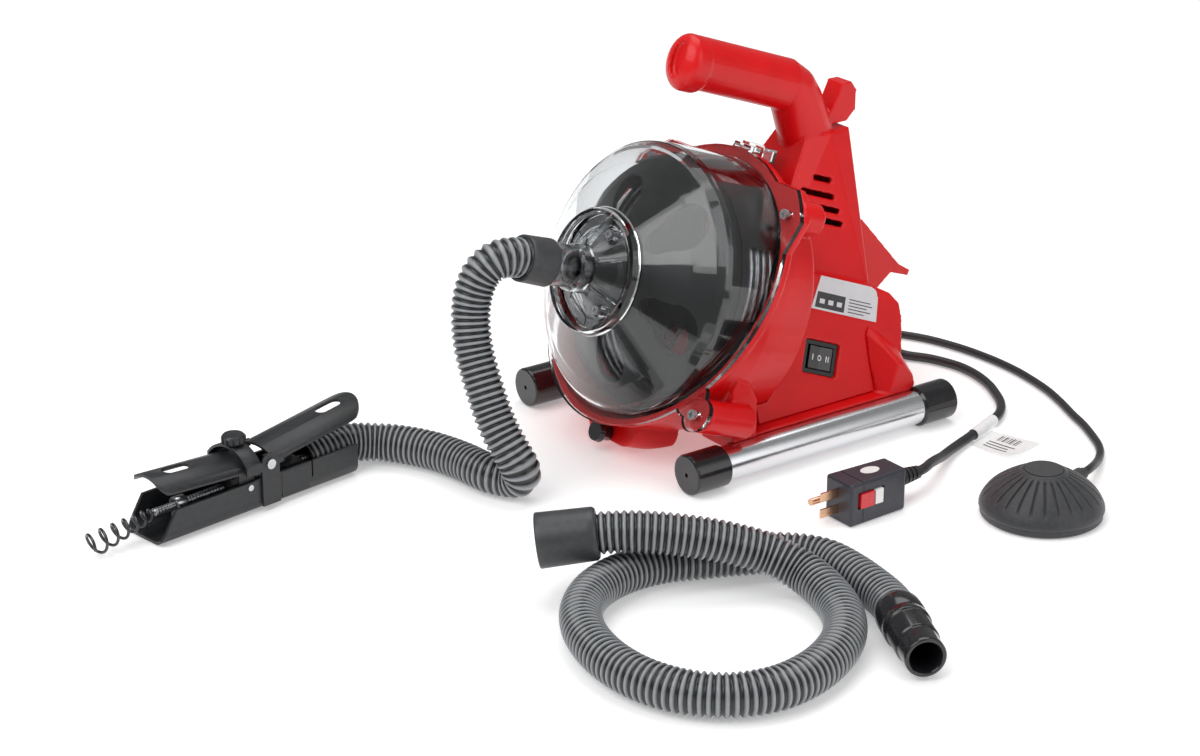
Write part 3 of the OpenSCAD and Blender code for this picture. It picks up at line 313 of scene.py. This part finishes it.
def turned(profile, sides, place):
    """Revolves a closed outline of (radius, height) points about Z; place moves each point."""
    verts, faces = [], []
    count = len(profile)
    for j in range(sides):
        a = 2 * math.pi * j / sides
        verts += [place(Vector((r * math.cos(a), r * math.sin(a), z)), a) for r, z in profile]
    for j in range(sides):
        k = (j + 1) % sides
        for i in range(count):
            n = (i + 1) % count
            faces.append((j * count + i, k * count + i, k * count + n, j * count + n))
    return verts, faces


def drum_point(x, s, h):
    """From the drum's frame in millimetres: across, back along the axis and up from it."""
    return RIM + Vector((x, s * math.cos(TILT) + h * math.sin(TILT),
                         -s * math.sin(TILT) + h * math.cos(TILT))) * MM


# ---------------------------------------------------------------- cords and hoses

def metres(points):
    """A route in metres from its points in millimetres."""
    return [Vector(p) * MM for p in points]


power_route = metres([
    (-22, 122.3, 39), (-22.5, 131, 37), (-22.5, 140.5, 31), (-21, 149, 23), (-18, 157, 14), (-11, 164.5, 7),
    (-2, 172, 3.8), (12, 181.5, 3.5), (25, 186.5, 3.5), (38, 189.5, 3.5), (52, 189.5, 3.5), (66, 187, 3.5),
    (81, 182, 3.5), (95, 175, 3.5), (107, 168, 3.5), (118, 159, 3.6), (127, 148, 4), (133, 136, 4.35),
    (139, 121, 4.35), (145, 104, 4.35), (151, 87, 4.4), (158, 71, 5.5), (166.5, 56, 8), (175, 42, 12),
    (182.5, 29.5, 15), (187.7, 20, 16), (189.5, 12, 16)])
air_route = metres([
    (-46, 108.2, 34), (-47, 118, 33), (-50, 130, 29), (-54, 144, 21), (-57, 158, 12), (-57, 172, 5.5),
    (-53, 184, 3.2), (-46, 194, 3), (-35, 202, 3), (-20, 209.5, 3), (-4, 214.5, 3), (12, 218, 3),
    (28, 220, 3), (48, 221, 3), (70, 220, 3), (92, 216.5, 3), (113, 211.5, 3), (135, 203.5, 3),
    (157, 194, 3), (176, 186.5, 3), (194, 177.5, 3), (208, 169.5, 3), (219, 160.5, 3.2), (228, 150, 4.2),
    (236, 139, 6.5), (243.5, 128, 9.5), (249, 118.5, 11.5), (251.9, 110.6, 12)])
hose_route = metres([
    (0, -178.7, 156.6), (0, -189.7, 160.6), (-0.5, -200, 163), (-2.5, -210, 161.5), (-5.5, -218.5, 154),
    (-7, -224, 142), (-6.5, -227, 129), (-3.5, -229, 115.5), (1, -230, 102), (7, -230, 89),
    (13.5, -229.5, 76), (20, -228.5, 63), (27.5, -227, 50.5), (35, -224, 38.5), (40, -220, 27),
    (38.5, -218, 18.5), (30, -220.5, 14.4), (18, -226.5, 14.2), (4, -229.5, 14.2), (-11, -231, 14.2),
    (-26, -234, 14.2), (-41, -238.5, 14.2), (-54, -244.5, 14.2), (-66, -252, 14.2), (-75.5, -261, 14.4),
    (-81.5, -272, 15.4), (-84, -285, 17), (-82, -297.6, 17), (-80, -310.3, 17), (-78, -322.9, 17)])
spare_route = metres([
    (180.5, -268.4, 41.8), (187, -259.5, 43.3), (197, -246, 44.4), (208.5, -230.5, 44), (223, -210, 41),
    (237, -188, 35), (251, -168, 27), (272, -156.5, 18.5), (300, -159.5, 14.8), (325, -170.5, 14.2),
    (346, -188, 14.2), (361.5, -211, 14.2), (371, -237, 14.2), (373, -264, 14.2), (364, -290, 14.2),
    (345, -309.5, 14.2), (319.5, -320.5, 14.2), (292, -323, 14.2), (265, -319, 14.2), (240, -309.5, 14.2),
    (218.5, -294, 14.2), (203, -272.5, 14.2), (195.5, -246.5, 14.2), (197, -219, 14.2), (207, -193, 14.2),
    (218, -168, 14.2), (232, -143, 14.2), (254, -127.5, 14.2), (281.5, -126, 14.2), (308, -129.5, 14.2),
    (323, -132.7, 14.2), (336.5, -138, 14.7), (350, -144.5, 15.7)])

# Mains lead and air line: outer radii, with the length of one ring and the sides round it
CORD_R = 3.5 * MM
AIR_R = 3 * MM
LEAD_STEP = 2.5 * MM
LEAD_SIDES = 20
# Corrugated hose: radii over the ribs, between them and inside, the ribs' pitch, and how finely each is made
HOSE_R = 13.95 * MM
HOSE_VALLEY = 11.7 * MM
HOSE_INNER = 10.6 * MM
RIB = 4.7 * MM
RING_STEPS = 6
HOSE_SIDES = 40
# Below 1 the ribs are broad and the valleys narrow
RIB_FULLNESS = 0.7


def lead(name, route, radius, node):
    """A smooth round lead along its route."""
    line, length = smooth_line(route, LEAD_STEP)
    obj = piece(name, *swept(line, [radius] * len(line), LEAD_SIDES), CORD, "machine", "cord_rubber", [node])


def corrugated(name, route, node):
    """A hose with round-topped ribs, its crests marked for the material's painted light: painted highlight on
    the crests, painted shade in the valleys.
    """
    line, length = smooth_line(route, RIB / RING_STEPS)
    radii, crests = [], []
    for i in range(len(line)):
        wave = (0.5 + 0.5 * math.cos(2 * math.pi * i / RING_STEPS)) ** RIB_FULLNESS
        radii.append(HOSE_VALLEY + (HOSE_R - HOSE_VALLEY) * wave)
        crests.append(wave)
    verts, faces = swept(line, radii, HOSE_SIDES, inner=HOSE_INNER)
    obj = piece(name, verts, faces, HOSE, "machine", "hose_plastic", [node])
    crest = obj.data.attributes.new("crest", "FLOAT", "POINT")
    values = [c for c in crests for _ in range(HOSE_SIDES)]
    crest.data.foreach_set("value", values + [0.0] * (len(verts) - len(values)))


lead("mains_lead", power_route, CORD_R, "power_cord")
lead("air_line", air_route, AIR_R, "air_hose")
corrugated("guide_hose_skin", hose_route, "guide_hose")
corrugated("spare_hose_skin", spare_route, "spare_hose")


# ---------------------------------------------------------------- housings

def drawn_flat(mesh, solid, reach):
    """Draws the skin onto the solid's own faces where it lies close to them; corners stay round."""
    for vertex in mesh.vertices:
        nearest, _, _, gap = solid.find_nearest(vertex.co, reach)
        if nearest is not None:
            vertex.co = vertex.co.lerp(nearest, 1 - (gap / reach) ** 2)


# Rounding passes over each skin, and how far from the solid's faces it may lie and still be drawn onto them
SOFT_PASSES = 9
FLAT_REACH = 0.5 * MM


def moulded(name, node, voxel):
    """One smooth skin over a CAD solid, with every corner rounded as a moulding's is."""
    source = nodes[node]
    mesh = source.data.copy()
    mesh.name = name
    obj = bpy.data.objects.new(name, mesh)
    bpy.context.scene.collection.objects.link(obj)
    weld = bmesh.new()
    weld.from_mesh(mesh)
    bmesh.ops.remove_doubles(weld, verts=weld.verts, dist=2e-5)
    weld.to_mesh(mesh)
    solid = BVHTree.FromBMesh(weld)
    weld.free()
    skin = obj.modifiers.new("skin", "REMESH")
    skin.mode = "VOXEL"
    skin.voxel_size = voxel * MM
    skin.use_smooth_shade = True
    soft = obj.modifiers.new("soft", "SMOOTH")
    soft.factor = 0.5
    soft.iterations = SOFT_PASSES
    bpy.context.view_layer.update()
    made = bpy.data.meshes.new_from_object(obj.evaluated_get(bpy.context.evaluated_depsgraph_get()))
    obj.modifiers.clear()
    obj.data = made
    drawn_flat(made, solid, FLAT_REACH)
    made.materials.clear()
    made.materials.append(RED)
    made.polygons.foreach_set("use_smooth", [True] * len(made.polygons))
    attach(obj, "machine")
    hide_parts(node)


moulded("front_shell", "front_housing", 1.1)
moulded("rear_shell", "rear_housing", 1.0)


# ---------------------------------------------------------------- cable, drum and auger

def ribbed_cable(name, line, radius, groove, pitch, sides, body, slot, replaced, mat):
    """A wound cable: a shallow spiral groove runs round it."""
    verts, faces = swept(line, [radius] * len(line), sides)
    step = (line[1] - line[0]).length
    way = frames(line)
    for i in range(len(line)):
        for j in range(sides):
            phase = 2 * math.pi * (i * step / pitch + j / sides)
            r = radius - groove * (0.5 - 0.5 * math.cos(phase))
            a = 2 * math.pi * j / sides
            _, u, v = way[i]
            verts[i * sides + j] = line[i] + (u * math.cos(a) + v * math.sin(a)) * r
    return piece(name, verts, faces, mat, body, slot, replaced)


CABLE_R = 3.2 * MM

# Cable wound in the drum: its first turn's place along the axis, its turns' radius and their pitch
COIL_START, COIL_R, COIL_PITCH = 27.4, 81, 6.58
TURNS, PER_TURN = 5, 480
coil = []
for i in range(TURNS * PER_TURN + 1):
    a = 2 * math.pi * i / PER_TURN
    coil.append(drum_point(COIL_R * math.cos(a), COIL_START + COIL_PITCH * i / PER_TURN,
                           COIL_R * math.sin(a)))
ribbed_cable("wound_cable", coil, CABLE_R, 0.55 * MM, 2.12 * MM, 12, "drum", "cable_steel",
             ["cable_coil"], WIRE)

# The feed tool's own frame: Y along the channel towards its mouth
TOOL_POS = Vector((-84, -285, 0)) * MM
TOOL_TURN = Matrix.Rotation(math.radians(189), 4, "Z")
CABLE_Z = 17


def tool_point(x, y, z):
    """From the tool's frame in millimetres."""
    return TOOL_POS + TOOL_TURN @ (Vector((x, y, z)) * MM)


# Cable in the tool, from inside the hose to the auger
FED_START, FED_STEP, FED_RINGS = -14, 0.4, 452
fed = [tool_point(0, FED_START + FED_STEP * i, CABLE_Z) for i in range(FED_RINGS)]
ribbed_cable("fed_cable_skin", fed, CABLE_R, 0.5 * MM, 2.4 * MM, 18, "fed_cable", "cable_steel",
             ["tool_cable"], WIRE)

AUGER_START = 167.3
droop = Matrix.Rotation(math.radians(-8), 4, "X")


def auger_point(x, y, z):
    """From the drooping auger's frame in millimetres: Y along it from the cable's end."""
    p = droop @ Vector((x, y, z))
    return tool_point(p.x, p.y + AUGER_START, p.z + CABLE_Z)


# The auger's spring widens from the cable to its tip, and its turns open out on the way
AUGER_TURNS, AUGER_STEPS = 6.5, 40
AUGER_R, AUGER_FLARE, AUGER_LEN, AUGER_OPENING = 3.4, 4.6, 52, 1.3
AUGER_WIRE = 1.05 * MM
spring = [auger_point(0, 0.0, 0), auger_point(0, 0.6, 0.4), auger_point(1.4, 1.2, 0.4)]
for i in range(int(AUGER_TURNS * AUGER_STEPS) + 1):
    t = i / (AUGER_TURNS * AUGER_STEPS)
    a = 2 * math.pi * i / AUGER_STEPS
    r = AUGER_R + AUGER_FLARE * t
    spring.append(auger_point(r * math.cos(a), 1.7 + AUGER_LEN * t ** AUGER_OPENING, r * math.sin(a)))
piece("auger_spring", *swept(spring, [AUGER_WIRE] * len(spring), 12), DARK_WIRE, "auger", "auger_steel",
      ["auger_tip"])


# ---------------------------------------------------------------- pedal

PEDAL_AT = Vector((265, 58, 0)) * MM
GROOVES = 26
GROOVE_DEPTH, GROOVE_HALF_WIDTH = 1.7, 1.0
# Where a groove starts and ends, measured from the pedal's centre, and its lowest point
GROOVE_IN, GROOVE_OUT, GROOVE_LOW = 16.5, 40.5, 13
# A groove is cut down and inwards, about square to the dome's slope
CUT_DOWN, CUT_IN = 0.8, 0.6
# The dome's wall as (radius, height), up the outside and down the inside
dome = [(29, 5.3), (42.2, 5.3), (43, 6.6), (42.9, 8.2), (42.2, 10.5), (40.9, 13), (39.2, 15.6), (37, 18.3),
        (34.4, 20.8), (31.4, 23.1), (28.2, 25.3), (24.8, 27.4), (21.2, 29.4), (18, 31), (16.2, 32),
        (15, 33), (13.6, 33.4), (13.5, 31), (20, 28), (26, 24), (31, 19), (34, 13), (35, 8), (29, 8)]
fine_dome = []
for (r0, z0), (r1, z1) in zip(dome, dome[1:] + dome[:1]):
    for k in range(3):
        fine_dome.append((r0 + (r1 - r0) * k / 3, z0 + (z1 - z0) * k / 3))


def grooved(p, a):
    """Sinks the dome's outside into radial grooves; the inside and the rim stay."""
    r, z = math.hypot(p.x, p.y), p.z
    across = abs(((a * GROOVES / (2 * math.pi) + 0.5) % 1) - 0.5) * 2 * math.pi * r / GROOVES
    on_top = z > 33.6 - (r - 13.5) * 0.95 - 1.5 and z > GROOVE_LOW
    if GROOVE_IN < r < GROOVE_OUT and on_top:
        end = min(1, (r - GROOVE_IN) / 2, (GROOVE_OUT - r) / 3)
        sunk = GROOVE_DEPTH * max(0, 1 - (across / GROOVE_HALF_WIDTH) ** 2) * end
        p = p.copy()
        p.z -= sunk * CUT_DOWN
        p.x -= sunk * CUT_IN * math.cos(a)
        p.y -= sunk * CUT_IN * math.sin(a)
    return PEDAL_AT + p * MM


bellows = piece("pedal_dome", *turned(fine_dome, GROOVES * 22, grooved), PEDAL, "machine", "pedal_rubber",
                ["pedal_bellows"])
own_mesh(bellows)


# ---------------------------------------------------------------- lead's tag

TAG_CORNERS = [Vector(c) for c in ((141, 128), (178, 141), (192, 97), (150, 100))]
TAG_STEPS = 12
TAG_LIFT = 7


def tag_point(u, v, height):
    """A point on the curling tag: u across it, v along it, height above its underside in mm."""
    low = TAG_CORNERS[0].lerp(TAG_CORNERS[1], u)
    far = TAG_CORNERS[3].lerp(TAG_CORNERS[2], u)
    flat = low.lerp(far, v)
    return Vector((flat.x, flat.y, 0.55 + height + TAG_LIFT * (u * v) ** 2)) * MM


def on_tag(name, u0, u1, v0, v1, low, high, mat):
    """A sheet on the tag between two heights, following its curl."""
    verts, faces = [], []
    stride = TAG_STEPS + 1
    for height in (low, high):
        for i in range(stride):
            for j in range(stride):
                u = u0 + (u1 - u0) * i / TAG_STEPS
                v = v0 + (v1 - v0) * j / TAG_STEPS
                verts.append(tag_point(u, v, height))
    above = stride * stride
    for i in range(TAG_STEPS):
        for j in range(TAG_STEPS):
            a = i * stride + j
            quad = (a, a + 1, a + stride + 1, a + stride)
            faces += [quad, tuple(q + above for q in reversed(quad))]
    rim = ([i * stride for i in range(TAG_STEPS)] + [TAG_STEPS * stride + j for j in range(TAG_STEPS)]
           + [i * stride + TAG_STEPS for i in range(TAG_STEPS, 0, -1)] + list(range(TAG_STEPS, 0, -1)))
    for a, b in zip(rim, rim[1:] + rim[:1]):
        faces.append((a, a + above, b + above, b))
    replaced = ["cord_tag"] if name == "paper_tag" else ()
    return piece(name, verts, faces, mat, "machine", "tag_white", replaced, smooth=False)


on_tag("paper_tag", 0, 1, 0, 1, 0, 0.35, PAPER)
for i, width in enumerate((0.025, 0.012, 0.03, 0.012, 0.02, 0.03, 0.012, 0.025, 0.015)):
    start = 0.3 + 0.05 * i
    on_tag(f"tag_bar_{i}", start, start + width, 0.12, 0.4, 0.36, 0.42, INK)
for i, end in enumerate((0.8, 0.72, 0.78)):
    on_tag(f"tag_line_{i}", 0.2, end, 0.52 + 0.13 * i, 0.56 + 0.13 * i, 0.36, 0.42, INK)


# ---------------------------------------------------------------- small details

def slab(name, outline, low, high, place, mat, body, slot):
    """A thin extruded outline; place maps its local millimetres into the frame."""
    count = len(outline)
    verts = [place(x, y, z) for z in (low, high) for x, y in outline]
    faces = [tuple(reversed(range(count))), tuple(range(count, 2 * count))]
    faces += [(i, (i + 1) % count, (i + 1) % count + count, i + count) for i in range(count)]
    return piece(name, verts, faces, mat, body, slot, smooth=False)


SIDE_X = Vector((0.108, 0.927, -0.359))
SIDE_Y = Vector((-0.266, 0.375, 0.888))
SIDE_Z = Vector((0.958, 0.0, 0.287))


def on_side(origin):
    """Local axes on the leaning side wall: X back along it, Y up it, Z out of it."""
    base = Vector(origin)
    return lambda x, y, z: (base + SIDE_X * x + SIDE_Y * y + SIDE_Z * z) * MM


def bar(x, y, w, h):
    """A rectangle's outline about its centre."""
    return [(x - w / 2, y - h / 2), (x + w / 2, y - h / 2), (x + w / 2, y + h / 2), (x - w / 2, y + h / 2)]


def ring(cx, cy, rx, ry, count=40):
    """An oval's outline."""
    return [(cx + rx * math.cos(2 * math.pi * i / count), cy + ry * math.sin(2 * math.pi * i / count))
            for i in range(count)]


# Generic blocks on the rating label
label_at = on_side((64.75, 49, 97.5))
# Heights off the wall: just under the label's face, the top of the print, and of the windows in it
LABEL_FACE, PRINT_TOP, WINDOW_TOP = 0.44, 0.5, 0.56
slab("label_block", [(-27, -10), (0, -10), (0, 1.5), (-26, 1.5)], LABEL_FACE, PRINT_TOP, label_at, INK,
     "machine", "label_film")
for i, width in enumerate((20, 22, 17, 21, 15)):
    slab(f"label_line_{i}", bar(3.5 + width / 2, 0.5 - 2.3 * i, width, 0.7), LABEL_FACE, PRINT_TOP,
         label_at, INK, "machine", "label_film")
for i, x in enumerate((-21, -13, -5)):
    slab(f"label_window_{i}", bar(x, -5, 4.6, 3.4), PRINT_TOP, WINDOW_TOP, label_at, LABEL, "machine",
         "label_film")

# Marks for forward, off and reverse on the rocker
rocker_at = on_side((71.5, 19, 61))
# Half the rocker's length, the height of its middle, and how much higher its ends are
ROCKER_HALF, ROCKER_MIDDLE, ROCKER_RISE = 10.3, 1.4, 1.4
# How far a mark reaches under and over the rocker's face
MARK_UNDER, MARK_OVER = 0.15, 0.16


def rocker_top(x):
    """Height of the rocker's hollowed face at x from its middle."""
    return ROCKER_MIDDLE + abs(x) * ROCKER_RISE / ROCKER_HALF


def rocker_mark(name, outline, x):
    top = rocker_top(x)
    slab(name, outline, top - MARK_UNDER, top + MARK_OVER, rocker_at, WHITE, "rocker", "button_white")


rocker_mark("mark_forward", bar(-6.6, 0, 0.8, 4.2), -6.6)
rocker_mark("mark_reverse_a", bar(5.8, 0, 0.8, 4.2), 5.8)
rocker_mark("mark_reverse_b", bar(7.6, 0, 0.8, 4.2), 7.6)

# The ring for off follows the two slopes of the face
OFF_LOW, OFF_HIGH, OFF_SLOPE = 1.2, 1.6, 0.13
off_outer, off_inner = ring(0, 0, 1.7, 2.1), ring(0, 0, 1.0, 1.4)
off_count = len(off_outer)
off_verts = [rocker_at(x, y, z + abs(x) * OFF_SLOPE)
             for z in (OFF_LOW, OFF_HIGH) for x, y in off_outer + off_inner]
off_faces = []
for i in range(off_count):
    j = (i + 1) % off_count
    a, b, c, d = i, j, j + off_count, i + off_count
    top = 2 * off_count
    off_faces += [(a, d, c, b), (a + top, b + top, c + top, d + top), (a, b, b + top, a + top),
                  (d, d + top, c + top, c)]
piece("mark_off", off_verts, off_faces, WHITE, "rocker", "button_white", smooth=False)

# Oval window on top of the plug
PLUG_AT = Vector((193.5, -38, 0))
OVAL_LOW, OVAL_HIGH = 30.85, 30.98


def on_plug(x, y, z):
    return (PLUG_AT + Vector((x, y, z))) * MM


slab("plug_oval", ring(-1, 3, 5, 7.5), OVAL_LOW, OVAL_HIGH, on_plug, WHITE, "machine", "button_white")


# ---------------------------------------------------------------- floor and light

# Half the floor's side, and how far it lies below the feet, in metres
FLOOR_HALF, FLOOR_DROP = 6, 0.0004
floor_mat = material("floor", (0.93, 0.93, 0.93), 0.6, spread=0.004, scale=4, bump=0.0, grain=50)
floor_tree = floor_mat.node_tree
floor_shader = floor_tree.nodes["Principled BSDF"]
socket(floor_shader, "Emission Color", (1, 1, 1, 1))
# The floor glows more away from the object, where the lamps don't reach
away = floor_tree.nodes.new("ShaderNodeVectorMath")
away.operation = "LENGTH"
floor_tree.links.new(floor_tree.nodes["Texture Coordinate"].outputs["Object"], away.inputs[0])
glow = floor_tree.nodes.new("ShaderNodeMapRange")
for socket_name, value in (("From Min", 0.8), ("From Max", 3.2), ("To Min", 0.30), ("To Max", 0.85)):
    socket(glow, socket_name, value)
floor_tree.links.new(away.outputs["Value"], glow.inputs["Value"])
floor_tree.links.new(glow.outputs["Result"], floor_shader.inputs["Emission Strength"])
floor_mesh = bpy.data.meshes.new("floor")
floor_mesh.from_pydata([(-FLOOR_HALF, -FLOOR_HALF, 0), (FLOOR_HALF, -FLOOR_HALF, 0),
                        (FLOOR_HALF, FLOOR_HALF, 0), (-FLOOR_HALF, FLOOR_HALF, 0)], [], [(0, 1, 2, 3)])
floor_mesh.materials.append(floor_mat)
floor = bpy.data.objects.new("floor", floor_mesh)
floor.location.z = -FLOOR_DROP
bpy.context.scene.collection.objects.link(floor)


def area(name, at, aim, size, power):
    """A soft rectangular lamp that points at aim."""
    light = bpy.data.objects.new(name, bpy.data.lights.new(name, "AREA"))
    light.data.shape = "RECTANGLE"
    light.data.size, light.data.size_y = size
    light.data.energy = power
    light.location = at
    light.rotation_euler = (Vector(aim) - Vector(at)).to_track_quat("-Z", "Y").to_euler()
    bpy.context.scene.collection.objects.link(light)


area("key", (0.2, -1.6, 1.9), (0.05, -0.1, 0.1), (2.0, 1.5), 30)
area("side", (1.9, 0.5, 1.1), (0.05, -0.05, 0.1), (1.7, 1.8), 13)
area("top", (-0.3, 0.3, 2.0), (0.05, -0.1, 0.0), (1.6, 1.6), 19)
world = bpy.data.worlds.new("world")
bpy.context.scene.world = world
world.use_nodes = True
# White behind the object, and a dimmer studio for what the surfaces reflect
WHITE_SKY = (1, 1, 1, 1)
STUDIO_STRENGTH, BACKDROP_STRENGTH = 0.27, 1.0
sky = world.node_tree
studio = sky.nodes["Background"]
studio.inputs["Color"].default_value = WHITE_SKY
studio.inputs["Strength"].default_value = STUDIO_STRENGTH
backdrop = sky.nodes.new("ShaderNodeBackground")
backdrop.inputs["Color"].default_value = WHITE_SKY
backdrop.inputs["Strength"].default_value = BACKDROP_STRENGTH
seen = sky.nodes.new("ShaderNodeLightPath")
choice = sky.nodes.new("ShaderNodeMixShader")
sky.links.new(seen.outputs["Is Camera Ray"], choice.inputs["Fac"])
sky.links.new(studio.outputs["Background"], choice.inputs[1])
sky.links.new(backdrop.outputs["Background"], choice.inputs[2])
sky.links.new(choice.outputs["Shader"], sky.nodes["World Output"].inputs["Surface"])
bpy.context.scene.view_settings.view_transform = "Standard"
